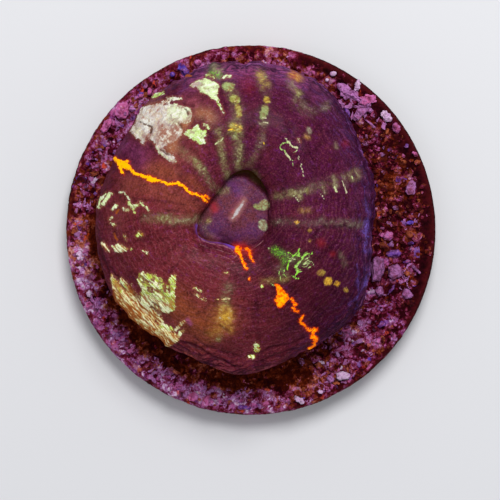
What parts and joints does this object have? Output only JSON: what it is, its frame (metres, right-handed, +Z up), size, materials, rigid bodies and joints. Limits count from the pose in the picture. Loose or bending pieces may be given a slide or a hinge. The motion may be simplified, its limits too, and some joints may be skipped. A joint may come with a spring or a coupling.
{
  "type": "scolymia coral",
  "caption": "Large single-polyp stony coral with a sunken mouth, a swollen mantle and a curled skirt, standing on a round base disc strewn with crusted rubble.",
  "frame": {"origin": "centre of the base disc's flat underside", "axes": "+Z up through the disc and the polyp, +Y towards the side where the mantle comes nearest the disc's rim, +X to its right seen from above"},
  "size_m": [0.1, 0.1, 0.0361],
  "materials": {
    "wet_tissue": "soft wet flesh, maroon and violet with orange, lime and cream markings",
    "crusted_rock": "dark red rock crusted with grit and coralline algae",
    "lilac_crust": "matte lilac coralline crust",
    "violet_crust": "matte violet coralline crust",
    "pink_crust": "matte rose-pink coralline crust",
    "pale_shell": "pale lilac-white shell and bare crust",
    "blue_crust": "blue-grey crust",
    "warm_crumb": "peach-orange crumb of shell"
  },
  "bodies": {
    "root": {"base_disc": "crusted_rock", "coral_polyp": "wet_tissue", "lilac_stone_large": "lilac_crust", "lilac_stone_small": "lilac_crust", "five_sided_stone": "lilac_crust", "violet_blade": "violet_crust", "violet_slab": "violet_crust", "violet_splinter": "violet_crust", "deep_violet_shard": "violet_crust", "crumbled_lilac_stone": "lilac_crust", "rose_pebble": "pink_crust", "peach_bead": "warm_crumb", "grey_oval_pebble": "blue_crust", "broad_lilac_flake": "lilac_crust", "standing_flake": "pale_shell", "broad_pink_flake": "pink_crust", "small_lilac_flake": "lilac_crust", "blue_lilac_flake": "violet_crust", "forked_flake": "lilac_crust", "star_flake": "pale_shell", "grey_rose_pebble": "pink_crust", "rose_rim_chip": "pink_crust", "peach_rim_chip": "warm_crumb", "violet_crumb": "violet_crust", "pearl_bead": "pale_shell", "small_pearl_bead": "pale_shell", "blue_slab": "blue_crust", "pale_blue_pebble": "blue_crust", "pink_pebble": "pink_crust", "magenta_chip": "pink_crust", "small_pink_chip": "pink_crust", "pink_crust_knob": "pink_crust", "pink_crust_ridge": "pink_crust", "orange_crumb": "warm_crumb", "pale_left_stone": "pale_shell", "pink_left_stone": "pink_crust", "pale_left_flake": "pale_shell", "bright_lilac_flake": "lilac_crust", "salmon_stone": "pink_crust", "pink_oval_stone": "pink_crust", "violet_rim_slab": "violet_crust", "pale_rim_chip": "pale_shell", "white_bead": "pale_shell", "lilac_rim_stone": "lilac_crust", "white_rim_slab": "pale_shell", "lilac_splinter": "lilac_crust", "lilac_crust_cluster": "lilac_crust"}
  },
  "joints": []
}
